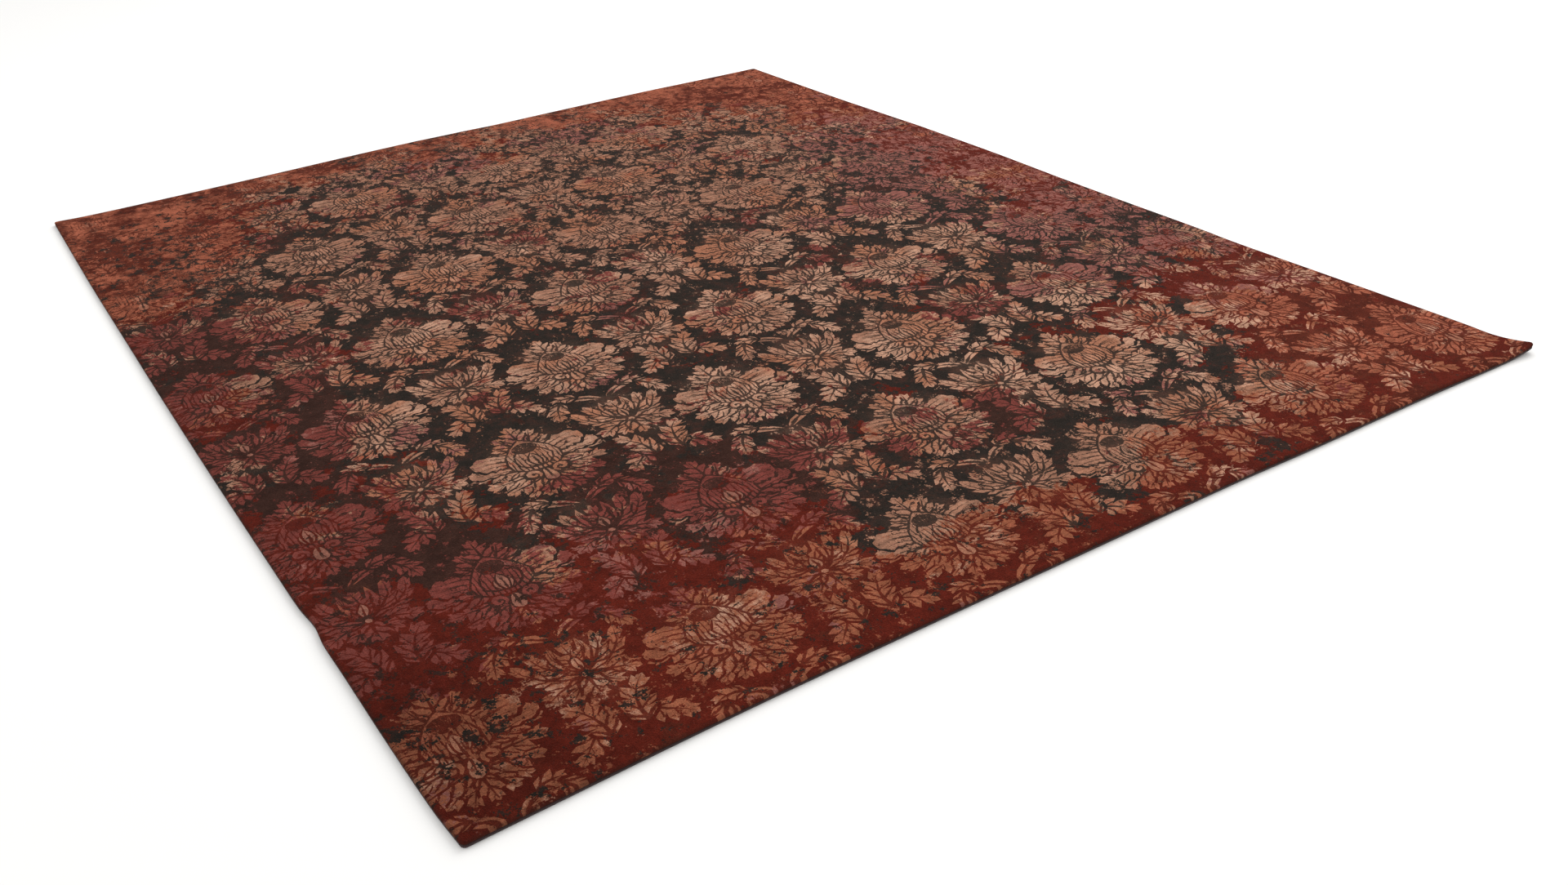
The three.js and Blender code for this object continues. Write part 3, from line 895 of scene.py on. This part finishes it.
def foundation_material(sizes, colours):
    """The back of a knotted rug: small hard knot backs in rows, in a blurred echo of the pattern."""
    material, tree = new_material("knotted_foundation")
    plan = add_node(tree, "ShaderNodeAttribute", {"attribute_name": "plan"}).outputs["Vector"]
    knots = add_node(tree, "ShaderNodeVectorMath", {"operation": "SNAP"},
                     {0: plan, 1: (sizes.knot, sizes.knot, sizes.knot)}).outputs[0]
    # How near the closest palmette or lotus is, as a share of its reach, with an edge torn over 60 mm
    repeat = Vector((sizes.repeat_across, sizes.repeat_along, 2))
    near = 2.0
    for column in (0, 1):
        for rise, across, along in HEARTS:
            heart = (column / 2 * repeat.x, ((MIDDLE_ALONG + rise) / PITCH_ALONG + column / 2) * repeat.y, 0)
            away = add_node(tree, "ShaderNodeVectorMath", {"operation": "SUBTRACT"}, {0: knots, 1: heart})
            away = add_node(tree, "ShaderNodeVectorMath", {"operation": "WRAP"}, {
                0: away.outputs[0], 1: repeat / 2, 2: -repeat / 2})
            away = add_node(tree, "ShaderNodeVectorMath", {"operation": "DIVIDE"}, {
                0: away.outputs[0], 1: (across * MM, along * MM, 1)})
            away = add_node(tree, "ShaderNodeVectorMath", {"operation": "LENGTH"}, {0: away.outputs[0]})
            near = add_node(tree, "ShaderNodeMath", {"operation": "MINIMUM"}, {
                0: near, 1: away.outputs["Value"]}).outputs[0]
    patches = add_node(tree, "ShaderNodeTexNoise", inputs={
        "Vector": knots, "Scale": 1 / (60 * MM), "Detail": 7, "Roughness": 0.75})
    torn_edge = add_node(tree, "ShaderNodeMath", {"operation": "MULTIPLY_ADD"},
                         {0: patches.outputs[0], 1: 1.6, 2: near})
    flowers = add_node(tree, "ShaderNodeMapRange", inputs={
        "Value": torn_edge.outputs[0], "From Min": 1.5, "From Max": 1.85,
        "To Min": 0.5, "To Max": 0.05}).outputs[0]
    stretches = add_node(tree, "ShaderNodeTexNoise", inputs={
        "Vector": knots, "Scale": 1 / (600 * MM), "Detail": 5})
    reddened = add_node(tree, "ShaderNodeMapRange", inputs={
        "Value": stretches.outputs[0], "From Min": 0.45, "From Max": 0.6, "To Max": 0.7}).outputs[0]
    ground = add_node(tree, "ShaderNodeMix", {"data_type": "RGBA"}, {
        0: reddened, 6: tuple(colours.dark_ground), 7: tuple(colours.wine_ground)}).outputs[2]
    colour = add_node(tree, "ShaderNodeMix", {"data_type": "RGBA"}, {
        0: flowers, 6: ground, 7: tuple(colours.copper)}).outputs[2]
    # At scale 1 a band of this texture is 2 pi / 20 m wide, so this makes each row of knots one band
    rows = add_node(tree, "ShaderNodeTexWave", {"bands_direction": "Y"},
                    {"Vector": plan, "Scale": 2 * math.pi / 20 / sizes.knot})
    bump = add_node(tree, "ShaderNodeBump", inputs={"Height": rows.outputs[0], "Strength": 0.6,
                    "Distance": 0.5 * MM})
    surface = add_node(tree, "ShaderNodeBsdfPrincipled", inputs={
        "Base Color": colour, "Roughness": 0.9, "Specular IOR Level": 0.2, "Normal": bump.outputs[0]})
    add_node(tree, "ShaderNodeOutputMaterial", inputs={"Surface": surface.outputs[0]})
    return material


def cord_material(sizes, colours):
    """Wool yarn wrapped close round a cord: matt, with painted darkening in the grooves between the turns.
    """
    material, tree = new_material("overcast_wool_yarn")
    along = add_node(tree, "ShaderNodeAttribute", {"attribute_name": "along"}).outputs["Fac"]
    turns = add_node(tree, "ShaderNodeMath", {"operation": "MULTIPLY"},
                     {0: along, 1: 2 * math.pi / sizes.yarn})
    ridge = add_node(tree, "ShaderNodeMath", {"operation": "SINE"}, {0: turns.outputs[0]}).outputs[0]
    place = add_node(tree, "ShaderNodeTexCoord").outputs["Object"]
    # Two shades of yarn that change over about 40 mm
    patches = add_node(tree, "ShaderNodeTexNoise", inputs={
        "Vector": place, "Scale": 1 / (40 * MM), "Detail": 4})
    colour = add_node(tree, "ShaderNodeMix", {"data_type": "RGBA"}, {
        0: patches.outputs[0], 6: tuple(colours.cord), 7: tuple(colours.cord_plum)}).outputs[2]
    # Painted shade: the grooves between the turns are painted nearly black
    painted_groove_shade = add_node(tree, "ShaderNodeMapRange", inputs={"Value": ridge, "From Min": -1.0, "From Max": 0.0,
                   "To Min": 0.55, "To Max": 0.0}).outputs[0]
    colour = add_node(tree, "ShaderNodeMix", {"data_type": "RGBA"}, {
        0: painted_groove_shade, 6: colour, 7: tuple(linear("#1a1819"))}).outputs[2]
    bump = add_node(tree, "ShaderNodeBump", inputs={"Height": ridge, "Strength": 0.8, "Distance": 0.3 * MM})
    surface = add_node(tree, "ShaderNodeBsdfPrincipled", inputs={
        "Base Color": colour, "Roughness": 0.9, "Specular IOR Level": 0.2, "Sheen Weight": 0.15,
        "Normal": bump.outputs[0]})
    add_node(tree, "ShaderNodeOutputMaterial", inputs={"Surface": surface.outputs[0]})
    return material


def floor_material():
    """A painted studio sweep: even, matt and nearly white."""
    material, tree = new_material("matt_studio_sweep")
    surface = add_node(tree, "ShaderNodeBsdfPrincipled", inputs={
        "Base Color": tuple(linear("#f4f3f1")), "Roughness": 0.95, "Specular IOR Level": 0.1})
    add_node(tree, "ShaderNodeOutputMaterial", inputs={"Surface": surface.outputs[0]})
    return material


def add_piece(name, mesh, materials):
    """Puts a mesh in the scene as an object with these materials."""
    piece = bpy.data.objects.new(name, mesh)
    bpy.context.scene.collection.objects.link(piece)
    for material in materials:
        mesh.materials.append(material)
    return piece


def make_pile(sizes, colours):
    """The pile: a level woven field, its rounded edge and its underside, laid out as the rug lies."""
    bm = weave_field(sizes)
    bmesh.ops.translate(bm, vec=(0, 0, THICKNESS), verts=bm.verts)
    add_rim(bm)
    curl_cuts(bm)
    tones, plans, edges = [], [], []
    zones = {key: [] for key in ZONE_GROUPS}
    for face in bm.faces:
        under = face.material_index == UNDERSIDE
        tones.append(0 if under else face.material_index)
        face.material_index = 1 if under else 0
        face.smooth = not under
    for vert in bm.verts:
        x, y, z = vert.co
        plans.append((x, y, z - THICKNESS))
        edges.append(max(0, min(WIDTH / 2 - abs(x), LENGTH / 2 - abs(y))))
        for key, names in ZONE_GROUPS.items():
            zones[key].append([zone(name, x, y) for name in names])
        vert.co = lay_out(vert.co)
    mesh = bpy.data.meshes.new("pile")
    bm.to_mesh(mesh)
    bm.free()
    store(mesh, "tone", "FLOAT", "FACE", tones)
    store(mesh, "plan", "FLOAT_VECTOR", "POINT", plans)
    store(mesh, "edge", "FLOAT", "POINT", edges)
    for key, values in zones.items():
        store(mesh, key, "FLOAT_VECTOR", "POINT", values)
    piece = add_piece("pile", mesh, [pile_material(sizes, colours), foundation_material(sizes, colours)])
    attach(piece, "root")
    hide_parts("pile_body")
    return piece


def corner_radius(corner, inset):
    """The radius of a corner's arc for a line set in from the outline."""
    return CORNERS[corner]["radius"] - min(inset, SETBACK)


def station_place(corner, share, turn, inset, height):
    """The point at a station on the outline, moved in by an inset and set at a height."""
    ends = []
    for each in (corner, (corner + 1) % 4):
        radius = corner_radius(each, inset)
        ends.append((CORNERS[each]["across"] * (WIDTH / 2 - inset - radius),
                     CORNERS[each]["along"] * (LENGTH / 2 - inset - radius), radius))
    x, y, radius = (a + (b - a) * share for a, b in zip(*ends))
    return Vector((x + radius * math.cos(turn), y + radius * math.sin(turn), height))


def side_stations(side, end_gap=0):
    """Stations along a straight side: corner, share of the way to the next corner, direction off the rug."""
    length = WIDTH if side in (FRONT, BACK) else LENGTH
    steps = round(length / CORD_STEP)
    turn = (side - 1) * math.pi / 2
    return [(side, min(max(step / steps, end_gap / length), 1 - end_gap / length), turn)
            for step in range(steps + 1)]


def arc_stations(corner):
    """Stations round a corner's arc."""
    return [(corner, 0, (corner - 2 + step / ARC_STEPS) * math.pi / 2) for step in range(1, ARC_STEPS)]


def make_cord(name, node, stations, material):
    """A round cord along its stations, beside the foundation and flat on the floor."""
    middle_inset, radius = SETBACK / 2, CORD_DIAMETER / 2
    bm = bmesh.new()
    ring = bmesh.ops.create_circle(bm, segments=CORD_SIDES, radius=radius)["verts"]
    loop = bm.edges[:]
    lengths = {}
    bmesh.ops.contextual_create(bm, geom=loop)
    travelled, last = 0, None
    for number, station in enumerate(stations):
        if number:
            made = bmesh.ops.extrude_edge_only(bm, edges=loop)["geom"]
            loop = [item for item in made if isinstance(item, bmesh.types.BMEdge)]
            ring = order_ring(ring, [item for item in made if isinstance(item, bmesh.types.BMVert)])
        centre = station_place(*station, middle_inset, radius)
        travelled += (centre - last).length if last else 0
        last = centre
        for side, vert in enumerate(ring):
            angle = (side + 0.5) * 2 * math.pi / CORD_SIDES
            vert.co = lay_out(station_place(*station, middle_inset - radius * math.cos(angle),
                                            radius - radius * math.sin(angle)))
            lengths[vert] = travelled
    bmesh.ops.contextual_create(bm, geom=loop)
    bmesh.ops.recalc_face_normals(bm, faces=bm.faces)
    for face in bm.faces:
        face.smooth = len(face.verts) == 4
    mesh = bpy.data.meshes.new(name)
    values = [lengths[vert] for vert in bm.verts]
    bm.to_mesh(mesh)
    bm.free()
    store(mesh, "along", "FLOAT", "POINT", values)
    piece = add_piece(name, mesh, [material])
    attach(piece, "root")
    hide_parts(node)
    return piece


def order_ring(before, made):
    """The new ring's points in the order of the ring that they were drawn out of."""
    fresh = set(made)
    ordered = []
    for vert in before:
        beyond = [edge.other_vert(vert) for edge in vert.link_edges]
        ordered.append(next(other for other in beyond if other in fresh))
    return ordered


def make_cords(sizes, colours):
    """The side cords, which turn the corners, and the end cords between them."""
    material = cord_material(sizes, colours)
    pieces = []
    for side, name in ((LEFT, "left"), (RIGHT, "right")):
        following = (side + 1) % 4
        stations = [side_stations((side - 1) % 4)[-1], *arc_stations(side), *side_stations(side),
                    *arc_stations(following), side_stations(following)[0]]
        pieces.append(make_cord("overcast_" + name, "side_cord_" + name, stations, material))
    for side, name in ((FRONT, "front"), (BACK, "back")):
        stations = side_stations(side, SEWING_GAP)
        pieces.append(make_cord("overcast_" + name, "end_cord_" + name, stations, material))
    return pieces


def make_stage():
    """A pale floor, even light with one large softbox, and the camera of the photo."""
    bm = bmesh.new()
    bmesh.ops.create_grid(bm, x_segments=1, y_segments=1, size=30)
    mesh = bpy.data.meshes.new("studio_floor")
    bm.to_mesh(mesh)
    bm.free()
    floor = add_piece("studio_floor", mesh, [floor_material()])
    scene = bpy.context.scene
    world = bpy.data.worlds.new("studio")
    scene.world = world
    world.use_nodes = True
    world.node_tree.nodes["Background"].inputs["Color"].default_value = (1, 1, 1, 1)
    world.node_tree.nodes["Background"].inputs["Strength"].default_value = 0.97
    scene.view_settings.view_transform = "Standard"
    light = bpy.data.lights.new("softbox", "AREA")
    light.shape = "DISK"
    light.size = 5
    light.energy = 150
    softbox = bpy.data.objects.new("softbox", light)
    scene.collection.objects.link(softbox)
    softbox.location = (3.6, 1.2, 3.6)
    softbox.rotation_euler = (Vector((0, 0, 0)) - softbox.location).to_track_quat("-Z", "Y").to_euler()
    camera = bpy.data.objects.new("camera", bpy.data.cameras.new("camera"))
    scene.collection.objects.link(camera)
    camera.data.sensor_width = SENSOR
    camera.data.lens = LENS
    right, forward = Vector(CAMERA_RIGHT), Vector(CAMERA_FORWARD)
    turned = Matrix((right, right.cross(forward), -forward)).transposed()
    camera.matrix_world = Matrix.Translation(CAMERA_PLACE) @ turned.to_4x4()
    scene.camera = camera


def length(name, description, low, high, default):
    """The property of one length."""
    return bpy.props.FloatProperty(name=name, description=description, subtype="DISTANCE", unit="LENGTH",
                                   min=low, max=high, default=default)


class RugSizes(bpy.types.PropertyGroup):
    """The sizes of the pattern, the knots and the yarn."""

    repeat_across: length("Repeat across", "Width of one repeat of the damask", 0.3, 0.9, PITCH_ACROSS * MM)
    repeat_along: length("Repeat along", "Length of one repeat of the damask", 0.4, 1.4, PITCH_ALONG * MM)
    drift: length("Drift", "How far the pattern wanders over the rug", 0, 0.03, 5 * MM)
    unevenness: length("Unevenness", "How far the drawing's outlines stray", 0, 0.01, 3.2 * MM)
    knot: length("Knot", "Width of a knot, for 100 knots to the square inch", 0.001, 0.01, 2.54 * MM)
    yarn: length("Yarn", "Thickness of the yarn round the edge cords", 0.0005, 0.005, 1.6 * MM)


def dye(name, description, hex_colour):
    """The property of one dye."""
    return bpy.props.FloatVectorProperty(name=name, description=description, subtype="COLOR", size=4,
                                         min=0, max=1, default=linear(hex_colour))


class RugColours(bpy.types.PropertyGroup):
    """The dyes of the rug."""

    dark_ground: dye("Dark ground", "Ground in the middle of the rug", "#27221e")
    brown_ground: dye("Brown ground", "Browner patches of the middle ground", "#35201a")
    wine_ground: dye("Wine ground", "Ground near the front edge", "#541a10")
    rust_ground: dye("Rust ground", "Ground in the back corners", "#4e1e13")
    copper: dye("Copper", "Flowers in the middle of the rug", "#986c57")
    peach: dye("Peach", "The palest flowers and their hearts", "#b0866f")
    amber: dye("Amber", "Warmer flowers among the copper ones", "#9b6349")
    gold: dye("Gold", "Flowers on the wine ground", "#8a5039")
    wine: dye("Wine", "Flowers towards the left side", "#723831")
    rose: dye("Rose", "Flowers towards the right side", "#845148")
    rust: dye("Rust", "Flowers in the back corners", "#90503b")
    cord: dye("Cord", "Yarn of the edge cords", "#2a2524")
    cord_plum: dye("Cord, lighter", "Lighter stretches of the edge cords", "#4d3536")


class RUG_OT_stage(bpy.types.Operator):
    """Makes the floor, the light and the camera"""

    bl_idname = "rug.stage"
    bl_label = "Make the stage"

    def execute(self, context):
        make_stage()
        return {"FINISHED"}


class RUG_OT_cords(bpy.types.Operator):
    """Makes the four overcast cords round the edge"""

    bl_idname = "rug.cords"
    bl_label = "Make the edge cords"

    def execute(self, context):
        make_cords(context.scene.rug_sizes, context.scene.rug_colours)
        return {"FINISHED"}


class RUG_OT_pile(bpy.types.Operator):
    """Makes the knotted pile with its damask"""

    bl_idname = "rug.pile"
    bl_label = "Make the pile"

    def execute(self, context):
        piece = make_pile(context.scene.rug_sizes, context.scene.rug_colours)
        return {"FINISHED"}


class RUG_PT_panel(bpy.types.Panel):
    """Lists the steps that make the rug"""

    bl_label = "Rug"
    bl_idname = "RUG_PT_panel"
    bl_space_type = "VIEW_3D"
    bl_region_type = "UI"
    bl_category = "Rug"

    def draw(self, context):
        for name in ("rug.stage", "rug.cords", "rug.pile"):
            self.layout.operator(name)
        for name in RugSizes.__annotations__:
            self.layout.prop(context.scene.rug_sizes, name)
        for name in RugColours.__annotations__:
            self.layout.prop(context.scene.rug_colours, name)


CLASSES = (RugSizes, RugColours, RUG_OT_stage, RUG_OT_cords, RUG_OT_pile, RUG_PT_panel)


def register():
    """Adds the rug's properties, operators and panel to Blender."""
    for each in CLASSES:
        bpy.utils.register_class(each)
    bpy.types.Scene.rug_sizes = bpy.props.PointerProperty(type=RugSizes)
    bpy.types.Scene.rug_colours = bpy.props.PointerProperty(type=RugColours)


def unregister():
    """Takes them out again."""
    del bpy.types.Scene.rug_sizes
    del bpy.types.Scene.rug_colours
    for each in reversed(CLASSES):
        bpy.utils.unregister_class(each)


def main():
    """Makes the whole rug."""
    register()
    bpy.ops.rug.stage()
    bpy.ops.rug.cords()
    bpy.ops.rug.pile()


if __name__ == "__main__":
    main()
